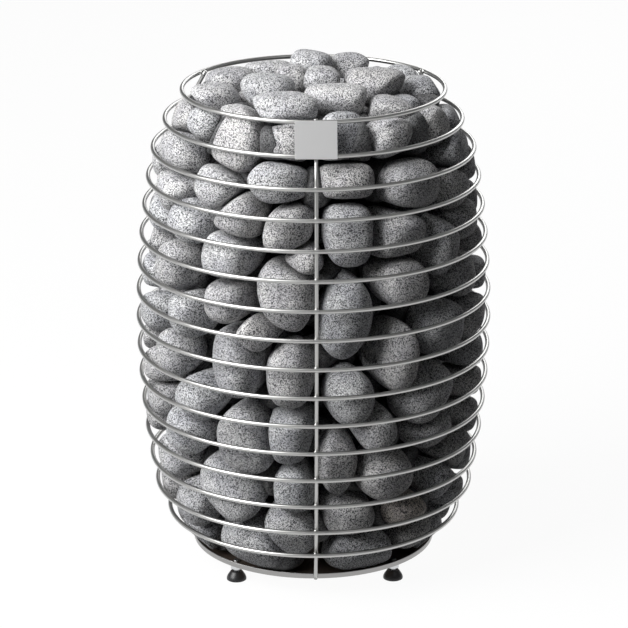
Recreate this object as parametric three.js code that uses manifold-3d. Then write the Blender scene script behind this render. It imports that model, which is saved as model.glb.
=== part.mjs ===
// A round electric sauna heater: a barrel-shaped cage of stainless wire rings on three bent posts,
// heaped full of rounded stones, with tubular heating elements inside and four levelling feet below.
// Millimetres, +Z up. The floor is z = 0, the cage's axis is x = y = 0, and the name plate faces -Y.
// An azimuth is measured from the front, in degrees, and grows towards +X.

import * as THREE from 'three';
import { mergeVertices } from 'three/addons/utils/BufferGeometryUtils.js';
import ManifoldModule from 'manifold-3d';

const wasm = await ManifoldModule();
wasm.setup();

// Gap left between pieces that touch
const GAP = 0.35;

// Wire cage: even rings on a barrel whose ends narrow in straight cones
const RING_COUNT = 16;
const RING_PITCH = 33.5;
const TOP_RING_Z = 564;
const WIRE = 5;
const BELLY_Z = 296;
const BELLY_RADIUS = 205;
const SIDE_CURVE_RADIUS = 1048;
const SHOULDER_HEIGHT = 216;
const CONE_SLOPE = 0.595;

// Posts: three rods on the inside of the rings, bent to the same profile
const POST_DIA = 4.5;
const POST_GAP = 0.7;
const POST_TOP_Z = 566;
const POST_BOTTOM_Z = 23;
const POST_AZIMUTHS = { front: 0, right: 120, left: -120 };

// Bare square name plate on the two top rings
const PLATE_WIDTH = 46.5;
const PLATE_HEIGHT = 43.5;
const PLATE_THICK = 1.5;
const PLATE_Z = 547.5;

// Base pan, with air holes and a central hole under the terminal housing
const PAN_RADIUS = 141.5;
const PAN_BOTTOM_Z = 21;
const PAN_SHEET = 1.5;
const PAN_RIM_HEIGHT = 6.5;
const PAN_CENTRE_HOLE = 66;
const AIR_HOLES = 8;
const AIR_HOLE_RADIUS = 11;
const AIR_HOLE_CIRCLE = 94;

// Terminal housing: a cup turned over on the pan, closed below by a cover
const HOUSING_RADIUS = 80;
const HOUSING_HEIGHT = 46;
const HOUSING_SHEET = 1.5;
const COVER_RADIUS = 74;
const COVER_THICK = 1.2;
const BLOCK_SIZE = [64, 30, 22];
const BLOCK_Z = 40;
const GROMMET_Y = 44;
const GROMMET_BORE = 6.5;
const GROMMET_NECK = 9;
const GROMMET_FLANGE = 12;

// Tubular heating elements: one hairpin for each phase
const ELEMENT_COUNT = 3;
const ELEMENT_DIA = 8;
const ELEMENT_CIRCLE = 64;
const ELEMENT_BOTTOM_Z = 56;
const ELEMENT_TOP_Z = 492;

// Levelling feet: rubber pad on an M8 stud in a nut welded under the pan
const FOOT_AZIMUTHS = [-45, 45, 135, -135];
const FOOT_CIRCLE = 128.5;
const PAD_RADIUS = 11.5;
const PAD_HEIGHT = 11;
const STUD_DIA = 8;
const STUD_BOTTOM_Z = 3;
const STUD_TOP_Z = 24.5;
const NUT_ACROSS_FLATS = 13;
const NUT_HEIGHT = 6.3;

// Where the outer stones lie: their depth, their lean against the cage, and their clearances
const STONE_DEPTH_SHARE = 0.46;
const STONE_INNER_RADIUS = 100;
const STONE_TILT_SHARE = 0.6;
const STONE_FLOOR_Z = 25.2;
const STONE_GAP = 1;
const RING_CLEARANCE = 2.4;
const BACK_STONES = 10;

// Form of a stone: a little larger than its row, so that its neighbours trim it. The facet allowance makes up
// for the flat facets, which cut inside the round form.
const STONE_GROWTH = 1.12;
const STONE_FLATS = 3;
const SQUARENESS = 2.6;
const TRIM_SHARPNESS = 8;
const FACET_ALLOWANCE = 1.04;

// Inner stones: a plain bed behind the outer ones, and a pile between the elements
const BED_INNER_RADIUS = 86;
const BED_OUTER_RADIUS = 113;
const BED_MARGIN = 4;
const BED_TOP_Z = 534;
const BED_NEAR_ELEMENTS = 71;
const CORE_STONES = 6;
const CORE_RADIUS = 47;
const CORE_BOTTOM_Z = 71;
const CORE_PITCH = 68;

// Front stones, course by course from the pan up: azimuth, centre height, width, height, lean.
// A positive lean turns the stone clockwise as seen from outside.
const COURSES = [
  { from: 24, to: 118, stones: [
    [-66, 45, 62, 44, 22], [-31, 53, 84, 60, 20], [22, 44, 82, 52, 0],
    [50, 58, 62, 42, -14], [67, 44, 60, 46, -22], [-88, 52, 56, 44, 0], [88, 56, 54, 44, 0],
    [-60, 93, 64, 58, 30], [-11, 85, 72, 56, 42], [14, 99, 66, 46, 0], [42, 93, 58, 40, -5],
    [76, 91, 52, 46, 0], [-86, 96, 52, 52, 0],
  ] },
  { from: 118, to: 222, stones: [
    [-72, 138, 60, 52, 20], [-38, 124, 98, 54, 42], [-9, 135, 46, 66, 0], [9, 166, 44, 82, 0],
    [29, 147, 62, 54, -20], [58, 124, 64, 42, -28], [66, 153, 82, 36, -28], [84, 128, 50, 44, -30],
    [-88, 178, 48, 46, 0], [-58, 184, 62, 60, 10], [-29, 190, 60, 92, -15], [-11, 200, 50, 68, 0],
    [24, 204, 50, 54, -10], [51, 190, 52, 38, -25], [78, 184, 46, 52, -30], [-79, 209, 54, 54, 0],
  ] },
  { from: 222, to: 330, stones: [
    [80, 222, 52, 46, -20],
    [-50, 233, 58, 52, 20], [-79, 246, 54, 46, 15], [14, 250, 54, 66, -15], [48, 234, 80, 58, -28],
    [-11, 276, 56, 84, 0], [-62, 277, 52, 58, 0], [82, 257, 50, 52, 0], [-88, 272, 46, 42, 0],
    [-33, 285, 62, 88, -5], [33, 292, 48, 94, 5], [54, 313, 58, 70, 10], [-80, 312, 52, 50, 0],
    [80, 308, 54, 58, 0], [-23, 325, 48, 42, 35],
  ] },
  { from: 330, to: 438, stones: [
    [-55, 331, 54, 60, 15], [12, 344, 58, 112, 0],
    [-86, 352, 50, 48, 0], [84, 350, 50, 50, 0], [-35, 357, 54, 54, 10], [68, 366, 50, 60, 0],
    [-12, 372, 66, 102, -12], [35, 381, 58, 62, 0], [-64, 381, 54, 80, 15], [-84, 394, 54, 52, 0],
    [88, 392, 46, 48, 0], [-36, 409, 66, 58, 5], [-5, 410, 42, 36, 0], [55, 409, 46, 72, 5],
    [-79, 426, 52, 50, 0], [75, 424, 46, 60, 0], [35, 432, 62, 66, 15],
    [-57, 437, 58, 50, 25], [90, 436, 44, 52, 0], [13, 439, 54, 78, 0],
  ] },
  { from: 438, to: 548, stones: [
    [-12, 444, 56, 64, 0],
    [-32, 458, 58, 60, 5], [-72, 463, 66, 50, 15], [70, 467, 58, 54, 0], [-42, 485, 58, 48, 15],
    [42, 484, 78, 58, 5], [-17, 496, 78, 52, 3], [14, 498, 62, 48, 0], [-88, 484, 46, 44, 0],
    [-73, 505, 70, 54, 12], [76, 504, 60, 56, 0], [90, 478, 46, 48, 0],
    [-37, 538, 66, 90, 5], [-14, 545, 50, 54, 0], [14, 545, 68, 60, 0], [36, 543, 58, 42, 0],
    [68, 540, 60, 44, 0], [-80, 540, 58, 50, 0], [-60, 548, 46, 36, 0], [88, 528, 54, 46, 0],
  ] },
];

// Loose stones on top: x, y, z, half length, half width, half height, turn
const CROWN = [
  [-1, 76, 572, 27, 26, 19, -12], [44, 94, 565, 26, 24, 16, 8], [67, 0, 566, 46, 32, 20, -14],
  [11, -3, 573, 26, 23, 17, 8], [-24, 24, 567, 20, 23, 18, 0], [-49, 90, 559, 32, 24, 15, 4],
  [-91, 50, 557, 33, 29, 18, 20], [-54, -34, 570, 34, 29, 19, -12], [-111, -20, 556, 33, 31, 18, 25],
  [22, -68, 569, 43, 28, 18, -10], [81, -70, 556, 31, 28, 17, 12], [121, 28, 552, 23, 31, 18, 20],
  [-23, -106, 561, 44, 26, 18, 4], [106, 88, 555, 25, 25, 16, 30],
];

// Stones half sunk under those, fused into the uppermost course, in the same numbers
const TOP_FILL = [
  [72, 82, 546, 23, 25, 22, 0], [26, 46, 546, 30, 26, 17, 20], [-62, 24, 545, 30, 26, 17, -30],
  [32, -38, 543, 28, 24, 17, 0], [-88, -62, 544, 30, 26, 17, 40], [96, -22, 545, 26, 28, 16, 10],
  [62, 48, 542, 28, 24, 17, 50],
];

const STEEL = new THREE.MeshStandardMaterial({ color: 0xc9cac8, roughness: 0.32, metalness: 1 });
const DARK_STEEL = new THREE.MeshStandardMaterial({ color: 0x5b5550, roughness: 0.45, metalness: 1 });
const RUBBER = new THREE.MeshStandardMaterial({ color: 0x161616, roughness: 0.75, metalness: 0 });
const CERAMIC = new THREE.MeshStandardMaterial({ color: 0xe8e4da, roughness: 0.5, metalness: 0 });
const STONE = new THREE.MeshStandardMaterial({ color: 0x8f8f90, roughness: 0.9, metalness: 0 });

const heater = new THREE.Group();

function radians(degrees) {
  return degrees * Math.PI / 180;
}

// Radius of the cage's outside at a height
function cageRadius(z) {
  const rise = Math.abs(z - BELLY_Z);
  const curved = Math.min(rise, SHOULDER_HEIGHT);
  const straight = Math.max(rise - SHOULDER_HEIGHT, 0);
  return BELLY_RADIUS - curved * curved / (2 * SIDE_CURVE_RADIUS) - CONE_SLOPE * straight;
}

// Tilt of the cage's outward normal above the horizontal, in radians
function cageTilt(z) {
  const step = 4;
  return Math.atan2(cageRadius(z - step) - cageRadius(z + step), 2 * step);
}

// How far inside the cage's outside a post's axis runs, touching the rings
function postInset(z) {
  return WIRE / 2 + (WIRE / 2 + POST_GAP + POST_DIA / 2) / Math.cos(cageTilt(z));
}

// How far inside the cage's outside a stone stays: clear of the rings, and of the posts where it meets one
function stoneInset(z, atPost) {
  const room = atPost ? 2 * POST_GAP + POST_DIA : RING_CLEARANCE;
  return WIRE / 2 + (WIRE / 2 + room) / Math.cos(cageTilt(z));
}

function outward(azimuth) {
  const angle = radians(azimuth);
  return new THREE.Vector3(Math.sin(angle), -Math.cos(angle), 0);
}

// Leaves only merged positions, so that the mesh is closed
function closed(geometry) {
  const bare = geometry.clone();
  for (const name of Object.keys(bare.attributes)) {
    if (name !== 'position') {
      bare.deleteAttribute(name);
    }
  }
  return mergeVertices(bare, 1e-4);
}

function solidFrom(geometry) {
  const bare = closed(geometry);
  return new wasm.Manifold(new wasm.Mesh({
    numProp: 3,
    vertProperties: new Float32Array(bare.attributes.position.array),
    triVerts: new Uint32Array(bare.index.array),
  }));
}

function geometryFrom(solid) {
  const mesh = solid.getMesh();
  const geometry = new THREE.BufferGeometry();
  geometry.setAttribute('position', new THREE.BufferAttribute(mesh.vertProperties, 3));
  geometry.setIndex(new THREE.BufferAttribute(mesh.triVerts, 1));
  return geometry;
}

function place(name, geometry, material) {
  const bare = closed(geometry);
  bare.computeVertexNormals();
  const mesh = new THREE.Mesh(bare, material);
  mesh.name = name;
  heater.add(mesh);
  return mesh;
}

// Lathe around Z: the profile's points are [radius, z]
function turned(profile, segments) {
  const points = profile.map(([r, z]) => new THREE.Vector2(r, z));
  const geometry = new THREE.LatheGeometry(points, segments);
  geometry.rotateX(Math.PI / 2);
  return geometry;
}

function upright(radius, bottom, top, sides) {
  const geometry = new THREE.CylinderGeometry(radius, radius, top - bottom, sides);
  geometry.rotateX(Math.PI / 2);
  geometry.translate(0, 0, (bottom + top) / 2);
  return geometry;
}

// Round rod swept along a curve
function rod(curve, diameter, steps, sides) {
  const section = new THREE.Shape();
  section.absarc(0, 0, diameter / 2, 0, 2 * Math.PI, false);
  return new THREE.ExtrudeGeometry(section, {
    extrudePath: curve, steps, curveSegments: sides, bevelEnabled: false,
  });
}

function buildRings() {
  for (let i = 0; i < RING_COUNT; i += 1) {
    const z = TOP_RING_Z - i * RING_PITCH;
    const ring = new THREE.TorusGeometry(cageRadius(z) - WIRE / 2, WIRE / 2, 5, 24);
    const name = `ring_${String(i + 1).padStart(2, '0')}`;
    place(name, ring, STEEL).position.z = z;
  }
}

function buildPosts() {
  const knots = [POST_BOTTOM_Z, BELLY_Z - SHOULDER_HEIGHT];
  for (let i = RING_COUNT - 1; i > 0; i -= 1) {
    knots.push(TOP_RING_Z - i * RING_PITCH);
  }
  knots.push(POST_TOP_Z);
  knots.sort((a, b) => a - b);
  for (const [side, azimuth] of Object.entries(POST_AZIMUTHS)) {
    const points = knots.map((z) => {
      const besidePan = PAN_RADIUS + 2 * GAP + POST_DIA / 2;
      const radius = z === POST_BOTTOM_Z ? besidePan : cageRadius(z) - postInset(z);
      const point = outward(azimuth).multiplyScalar(radius);
      point.z = z;
      return point;
    });
    const path = new THREE.CatmullRomCurve3(points);
    place(`post_${side}`, rod(path, POST_DIA, 24, 3), STEEL);
  }
}

function buildPlate() {
  const tilt = cageTilt(PLATE_Z);
  const plate = new THREE.BoxGeometry(PLATE_WIDTH, PLATE_THICK, PLATE_HEIGHT);
  const mesh = place('name_plate', plate, STEEL);
  const standoff = PLATE_THICK / 2 + GAP;
  mesh.position.set(0, -cageRadius(PLATE_Z) - standoff / Math.cos(tilt), PLATE_Z);
  mesh.rotation.x = -tilt;
}

function buildPan() {
  const top = PAN_BOTTOM_Z + PAN_RIM_HEIGHT;
  const floor = PAN_BOTTOM_Z + PAN_SHEET;
  const inside = PAN_RADIUS - PAN_SHEET;
  let pan = solidFrom(turned([
    [PAN_CENTRE_HOLE, PAN_BOTTOM_Z], [PAN_RADIUS, PAN_BOTTOM_Z], [PAN_RADIUS, top],
    [inside, top], [inside, floor], [PAN_CENTRE_HOLE, floor], [PAN_CENTRE_HOLE, PAN_BOTTOM_Z],
  ], 24));
  for (let i = 0; i < AIR_HOLES; i += 1) {
    const hole = upright(AIR_HOLE_RADIUS, PAN_BOTTOM_Z - 5, floor + 5, 6);
    const centre = outward((i + 0.5) * 360 / AIR_HOLES).multiplyScalar(AIR_HOLE_CIRCLE);
    hole.translate(centre.x, centre.y, 0);
    pan = pan.subtract(solidFrom(hole));
  }
  for (const azimuth of FOOT_AZIMUTHS) {
    const hole = upright(STUD_DIA / 2 + 2 * GAP, PAN_BOTTOM_Z - 5, floor + 5, 8);
    const centre = outward(azimuth).multiplyScalar(FOOT_CIRCLE);
    hole.translate(centre.x, centre.y, 0);
    pan = pan.subtract(solidFrom(hole));
  }
  place('base_pan', geometryFrom(pan), STEEL);
}

function elementAzimuths() {
  const step = 360 / (2 * ELEMENT_COUNT);
  return Array.from({ length: 2 * ELEMENT_COUNT }, (unused, i) => (i + 0.5) * step);
}

function buildHousing() {
  const bottom = PAN_BOTTOM_Z + PAN_SHEET + GAP;
  const top = bottom + HOUSING_HEIGHT;
  const inside = HOUSING_RADIUS - HOUSING_SHEET;
  let cup = solidFrom(turned([
    [0, top - HOUSING_SHEET], [inside, top - HOUSING_SHEET], [inside, bottom],
    [HOUSING_RADIUS, bottom], [HOUSING_RADIUS, top], [0, top],
  ], 24));
  for (const azimuth of elementAzimuths()) {
    const hole = upright(ELEMENT_DIA / 2 + 2 * GAP, top - 8, top + 8, 6);
    const centre = outward(azimuth).multiplyScalar(ELEMENT_CIRCLE);
    hole.translate(centre.x, centre.y, 0);
    cup = cup.subtract(solidFrom(hole));
  }
  place('terminal_housing', geometryFrom(cup), DARK_STEEL);

  const coverTop = PAN_BOTTOM_Z - GAP;
  const coverBottom = coverTop - COVER_THICK;
  const grommetHole = upright(GROMMET_NECK + GAP, coverBottom - 5, coverTop + 5, 12);
  grommetHole.translate(0, GROMMET_Y, 0);
  const disc = solidFrom(upright(COVER_RADIUS, coverBottom, coverTop, 24));
  place('bottom_cover', geometryFrom(disc.subtract(solidFrom(grommetHole))), DARK_STEEL);

  const grommet = turned([
    [GROMMET_BORE, coverBottom - 4], [GROMMET_FLANGE, coverBottom - 4], [GROMMET_FLANGE, coverBottom - GAP],
    [GROMMET_NECK, coverBottom - GAP], [GROMMET_NECK, coverTop + 3], [GROMMET_BORE, coverTop + 3],
    [GROMMET_BORE, coverBottom - 4],
  ], 12);
  place('cable_grommet', grommet, RUBBER).position.y = GROMMET_Y;

  place('terminal_block', new THREE.BoxGeometry(...BLOCK_SIZE), CERAMIC).position.z = BLOCK_Z;
}

function buildElements() {
  const azimuths = elementAzimuths();
  for (let i = 0; i < ELEMENT_COUNT; i += 1) {
    const near = outward(azimuths[2 * i]).multiplyScalar(ELEMENT_CIRCLE);
    const far = outward(azimuths[2 * i + 1]).multiplyScalar(ELEMENT_CIRCLE);
    const middle = near.clone().add(far).multiplyScalar(0.5);
    const reach = near.clone().sub(middle);
    const bendZ = ELEMENT_TOP_Z - reach.length() - ELEMENT_DIA / 2;
    const points = [];
    for (const z of [ELEMENT_BOTTOM_Z, 200, 340, bendZ - 20]) {
      points.push(new THREE.Vector3(near.x, near.y, z));
    }
    for (let k = 0; k <= 6; k += 1) {
      const angle = k * Math.PI / 6;
      const point = middle.clone().addScaledVector(reach, Math.cos(angle));
      point.z = bendZ + reach.length() * Math.sin(angle);
      points.push(point);
    }
    for (const z of [bendZ - 20, 340, 200, ELEMENT_BOTTOM_Z]) {
      points.push(new THREE.Vector3(far.x, far.y, z));
    }
    const curve = new THREE.CatmullRomCurve3(points, false, 'centripetal');
    // Sections stand at the points themselves, so that the straight legs take few of them
    curve.getPointAt = curve.getPoint;
    curve.getTangentAt = curve.getTangent;
    place(`heating_element_${i + 1}`, rod(curve, ELEMENT_DIA, points.length - 1, 3), DARK_STEEL);
  }
}

function buildFeet() {
  const nutTop = PAN_BOTTOM_Z - GAP;
  FOOT_AZIMUTHS.forEach((azimuth, i) => {
    const at = outward(azimuth).multiplyScalar(FOOT_CIRCLE);
    const bore = STUD_DIA / 2 + GAP;
    const pad = turned([
      [0, 0], [PAD_RADIUS - 0.8, 0], [PAD_RADIUS, 1], [PAD_RADIUS - 0.6, 4], [PAD_RADIUS - 3.2, 8.4],
      [PAD_RADIUS - 5, PAD_HEIGHT], [bore, PAD_HEIGHT], [bore, STUD_BOTTOM_Z - GAP], [0, STUD_BOTTOM_Z - GAP],
    ], 12);
    place(`foot_pad_${i + 1}`, pad, RUBBER).position.copy(at);
    place(`foot_stud_${i + 1}`, upright(STUD_DIA / 2, STUD_BOTTOM_Z, STUD_TOP_Z, 8), STEEL).position.copy(at);
    const corner = NUT_ACROSS_FLATS / Math.sqrt(3);
    const thread = upright(STUD_DIA / 2 + GAP, nutTop - NUT_HEIGHT - 5, nutTop + 5, 8);
    const nut = solidFrom(upright(corner, nutTop - NUT_HEIGHT, nutTop, 6)).subtract(solidFrom(thread));
    place(`foot_nut_${i + 1}`, geometryFrom(nut), STEEL).position.copy(at);
  });
}

// A stone that shows its face at an azimuth and height, with its face just inside the posts
function facedStone(course, [azimuth, z, width, height, lean]) {
  const tilt = STONE_TILT_SHARE * cageTilt(z);
  const depth = Math.min(STONE_DEPTH_SHARE * cageRadius(z), cageRadius(z) - STONE_INNER_RADIUS);
  const out = outward(azimuth);
  const normal = out.clone().multiplyScalar(Math.cos(tilt));
  normal.z = Math.sin(tilt);
  const side = new THREE.Vector3(-out.y, out.x, 0);
  const up = new THREE.Vector3().crossVectors(normal, side).negate();
  if (up.z < 0) {
    up.negate();
  }
  const turn = radians(lean);
  const axes = [
    side.clone().multiplyScalar(Math.cos(turn)).addScaledVector(up, -Math.sin(turn)),
    side.clone().multiplyScalar(Math.sin(turn)).addScaledVector(up, Math.cos(turn)),
    normal,
  ];
  const reach = radians(1) * cageRadius(z);
  const atPost = Object.values(POST_AZIMUTHS).some((post) => {
    const apart = Math.abs((azimuth - post + 540) % 360 - 180) * reach;
    return apart < width / 2 * STONE_GROWTH + 3 * POST_DIA;
  });
  const centre = out.clone().multiplyScalar(cageRadius(z) - stoneInset(z, atPost));
  centre.z = z;
  centre.addScaledVector(normal, -depth / 2);
  const semi = [width / 2 * STONE_GROWTH, height / 2 * STONE_GROWTH, depth / 2];
  return { course, centre, axes, semi, atPost };
}

function lyingStone(course, [x, y, z, length, width, height, turn]) {
  const side = new THREE.Vector3(Math.cos(radians(turn)), Math.sin(radians(turn)), 0);
  const along = new THREE.Vector3(-side.y, side.x, 0);
  const axes = [side, along, new THREE.Vector3(0, 0, 1)];
  return { course, centre: new THREE.Vector3(x, y, z), axes, semi: [length, width, height], atPost: true };
}

// Stones at the back of a course, in two rows, with small changes of size and height
function backStones(course, from, to) {
  const rows = [];
  for (let i = 0; i < BACK_STONES; i += 1) {
    const azimuth = 108 + (i + 0.3 * Math.sin(3 * course + 2 * i)) * 144 / (BACK_STONES - 1);
    const width = 76 + 8 * Math.sin(5 * course + 3 * i);
    const height = 58 + 6 * Math.cos(4 * course + 5 * i);
    const row = from + (i % 2 === 0 ? 0.27 : 0.75) * (to - from);
    const z = row + 4 * Math.sin(2 * course + 7 * i);
    const lean = 12 * Math.sin(course + 4 * i);
    rows.push([azimuth, z, width, height, lean]);
  }
  return rows;
}

// How far a stone's squared ellipsoid reaches in a direction
function support(stone, direction) {
  const power = SQUARENESS / (SQUARENESS - 1);
  let sum = 0;
  stone.axes.forEach((axis, k) => {
    sum += Math.abs(stone.semi[k] * axis.dot(direction)) ** power;
  });
  return sum ** (1 / power);
}

// A fixed number between 0 and 1 that looks like chance
function scatter(stone, k) {
  const value = Math.sin(12.9898 * stone + 78.233 * k) * 43758.5453;
  return value - Math.floor(value);
}

// Flats worn on a stone, as a direction and a distance
function wornFlats(stone, number) {
  const flats = [];
  for (let i = 0; i < STONE_FLATS; i += 1) {
    const rise = 2 * scatter(number, 3 * i) - 1;
    const round = 2 * Math.PI * scatter(number, 3 * i + 1);
    const level = Math.sqrt(1 - rise * rise);
    const direction = new THREE.Vector3(level * Math.cos(round), level * Math.sin(round), rise);
    flats.push([direction, support(stone, direction) * (0.8 + 0.16 * scatter(number, 3 * i + 2))]);
  }
  return flats;
}

// Planes that part a stone from its neighbours and the pan, as a direction and a distance
function partingPlanes(stone, stones) {
  const planes = [];
  for (const other of stones) {
    if (other === stone) {
      continue;
    }
    const direction = other.centre.clone().sub(stone.centre);
    const distance = direction.length();
    direction.normalize();
    const own = support(stone, direction);
    const share = own / (own + support(other, direction));
    const reach = distance * share - STONE_GAP / 2;
    if (reach < own) {
      planes.push([direction, reach]);
    }
  }
  const clearance = stone.centre.z - STONE_FLOOR_Z;
  planes.push([new THREE.Vector3(0, 0, -1), clearance]);
  return planes;
}

// A rounded stone: a squared ellipsoid with worn flats, eased back from its neighbours and the cage
function pebble(stone, stones, ball, extra = 0) {
  const planes = [...partingPlanes(stone, stones), ...wornFlats(stone, stones.indexOf(stone))];
  const geometry = closed(ball);
  const position = geometry.attributes.position;
  const direction = new THREE.Vector3();
  for (let i = 0; i < position.count; i += 1) {
    const local = new THREE.Vector3().fromBufferAttribute(position, i).normalize();
    direction.set(0, 0, 0);
    stone.axes.forEach((axis, k) => direction.addScaledVector(axis, local.getComponent(k) * stone.semi[k]));
    direction.normalize();
    let ratio = 0;
    stone.axes.forEach((axis, k) => {
      ratio += Math.abs(direction.dot(axis) / stone.semi[k] / FACET_ALLOWANCE) ** SQUARENESS;
    });
    let sum = ratio ** (TRIM_SHARPNESS / SQUARENESS);
    for (const [normal, reach] of planes) {
      sum += Math.max(direction.dot(normal) / reach, 0) ** TRIM_SHARPNESS;
    }
    const point = stone.centre.clone().addScaledVector(direction, sum ** (-1 / TRIM_SHARPNESS) + extra);
    const overPan = PAN_RADIUS - PAN_RIM_HEIGHT + point.z - STONE_FLOOR_Z;
    const limit = Math.min(cageRadius(point.z) - stoneInset(point.z, stone.atPost), overPan) + extra;
    const radius = Math.hypot(point.x, point.y);
    if (radius > limit) {
      point.x *= limit / radius;
      point.y *= limit / radius;
    }
    position.setXYZ(i, point.x, point.y, point.z);
  }
  return solidFrom(geometry);
}

// The inner stones of a course as one bed: a ring round the elements, closed above their tops
function innerBed(course, from, to) {
  const bottom = from + BED_MARGIN;
  const top = Math.min(to - BED_MARGIN, BED_TOP_Z);
  const outer = Math.min(BED_OUTER_RADIUS, cageRadius(bottom) - 50, cageRadius(top) - 50);
  const outside = [[outer, bottom], [outer, top]];
  const inner = course === 0 ? BED_INNER_RADIUS : BED_NEAR_ELEMENTS;
  const roof = ELEMENT_TOP_Z + 4;
  const inside = top > roof ? [[0, top], [0, roof], [inner, roof]] : [[inner, top]];
  return solidFrom(turned([[inner, bottom], ...outside, ...inside, [inner, bottom]], 12));
}

// The stones that stand between the elements, one on another
function buildCoreStones() {
  const pile = [];
  for (let i = 0; i < CORE_STONES; i += 1) {
    const stone = new THREE.SphereGeometry(1, 7, 4);
    stone.rotateX(Math.PI / 2);
    stone.scale(CORE_RADIUS - 4 * (i % 2), CORE_RADIUS - 4 * ((i + 1) % 2), CORE_PITCH * 0.62);
    stone.rotateZ(i);
    stone.translate(0, 0, CORE_BOTTOM_Z + (i + 0.62) * CORE_PITCH);
    pile.push(solidFrom(stone));
  }
  place('core_stones', geometryFrom(joined(pile)), STONE);
}

// Joins solids into one body, without the small pockets that can be left sealed between stones
function joined(solids) {
  const bodies = solids.reduce((sum, solid) => sum.add(solid)).decompose();
  return bodies.reduce((best, body) => (body.volume() > best.volume() ? body : best));
}

// A ball whose outward side has the finer facets, because its inward side is hidden
function outwardBall() {
  const ball = new THREE.SphereGeometry(1, 8, 4);
  ball.rotateX(Math.PI / 2);
  const position = ball.attributes.position;
  for (let i = 0; i < position.count; i += 1) {
    const polar = Math.acos(Math.min(Math.max(position.getZ(i), -1), 1));
    const eased = polar < 0.9 * Math.PI ? 0.7 * polar : polar;
    const around = Math.atan2(position.getY(i), position.getX(i));
    const level = polar < 0.9 * Math.PI ? Math.sin(eased) : 0;
    position.setXYZ(i, level * Math.cos(around), level * Math.sin(around), Math.cos(eased));
  }
  return ball;
}

function buildStones() {
  const ball = outwardBall();
  const roundBall = new THREE.IcosahedronGeometry(1, 1);
  const crown = CROWN.map((row) => lyingStone('crown', row));
  const stones = [...crown];
  COURSES.forEach(({ from, to, stones: front }, course) => {
    for (const row of [...front, ...backStones(course, from, to)]) {
      stones.push(facedStone(course, row));
    }
  });
  for (const row of TOP_FILL) {
    stones.push(lyingStone(COURSES.length - 1, row));
  }
  COURSES.forEach(({ from, to }, course) => {
    const own = stones.filter((stone) => stone.course === course);
    const near = stones.filter((stone) => stone.course !== course);
    let bed = innerBed(course, from, to);
    for (const stone of near) {
      const solid = pebble(stone, stones, crown.includes(stone) ? roundBall : ball, STONE_GAP / 2);
      const overlap = bed.intersect(solid);
      if (overlap.volume() > 0) {
        bed = bed.subtract(solid);
      }
    }
    const filled = joined([bed, ...own.map((stone) => pebble(stone, stones, ball))]);
    place(`stone_course_${String(course + 1).padStart(2, '0')}`, geometryFrom(filled), STONE);
  });
  crown.forEach((stone, i) => {
    const name = `crown_stone_${String(i + 1).padStart(2, '0')}`;
    place(name, geometryFrom(pebble(stone, stones, roundBall)), STONE);
  });
}

buildRings();
buildPosts();
buildPlate();
buildPan();
buildHousing();
buildElements();
buildFeet();
buildCoreStones();
buildStones();

export default heater;
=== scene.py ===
"""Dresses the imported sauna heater: speckled stones, satin wire, pan, feet, floor, light and camera."""

import itertools
import math

import bmesh
import bpy
import numpy as np
from mathutils import Matrix, Vector


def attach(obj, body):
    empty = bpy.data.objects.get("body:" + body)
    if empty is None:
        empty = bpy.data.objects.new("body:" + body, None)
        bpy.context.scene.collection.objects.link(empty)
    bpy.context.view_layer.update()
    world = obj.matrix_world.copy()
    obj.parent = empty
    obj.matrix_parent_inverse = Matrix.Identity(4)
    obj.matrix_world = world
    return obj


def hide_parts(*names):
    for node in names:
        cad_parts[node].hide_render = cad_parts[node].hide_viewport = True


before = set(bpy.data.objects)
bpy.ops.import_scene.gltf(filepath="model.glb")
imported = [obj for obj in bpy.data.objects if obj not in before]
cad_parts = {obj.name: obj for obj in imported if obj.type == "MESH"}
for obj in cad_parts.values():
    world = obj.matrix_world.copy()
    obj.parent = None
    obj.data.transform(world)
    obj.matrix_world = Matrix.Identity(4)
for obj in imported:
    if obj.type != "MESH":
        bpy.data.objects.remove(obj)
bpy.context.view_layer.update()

MM = 0.001
UP = np.array([0, 0, 1.0])

# A turned shape that reaches its axis starts this far from it
AXIS_RADIUS = 0.01

# Cage, in millimetres: the same barrel as the solids
RING_COUNT = 16
RING_PITCH = 33.5
TOP_RING_Z = 564
WIRE = 5
BELLY_Z = 296
BELLY_RADIUS = 205
SIDE_CURVE_RADIUS = 1048
SHOULDER_HEIGHT = 216
CONE_SLOPE = 0.595
POST_DIA = 4.5
POST_GAP = 0.2
POST_TOP_Z = 566
POST_BOTTOM_Z = 23
POST_AZIMUTHS = {"post_front": 0, "post_right": 120, "post_left": -120}
RING_POINTS = 160
POST_POINTS = 90
WIRE_SIDES = 14
WELD_WIDTH = 6.8
WELD_DEPTH = 2.4
WELD_HEIGHT = 6.4
WELD_INSET = 0.1
PLATE_WIDTH = 46.5
PLATE_HEIGHT = 43.5
PLATE_THICK = 1.5
PLATE_EDGE = 0.35
PLATE_GAP = 0.05
PLATE_Z = 547.5

# Base pan and feet
PAN_RADIUS = 141.5
PAN_BOTTOM_Z = 21
PAN_SHEET = 1.5
PAN_RIM_HEIGHT = 6.5
PAN_CENTRE_HOLE = 66
AIR_HOLES = 8
AIR_HOLE_RADIUS = 11
AIR_HOLE_CIRCLE = 94
FOOT_AZIMUTHS = [-45, 45, 135, -135]
FOOT_CIRCLE = 128.5
PAD_RADIUS = 11.5
PAD_HEIGHT = 11
PAD_SOCKET_Z = 2.8
STUD_DIA = 8
STUD_BOTTOM_Z = 3
STUD_TOP_Z = 24.5
THREAD_PITCH = 1.25
THREAD_TURNS = 17
THREAD_DEPTH = 0.55

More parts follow.
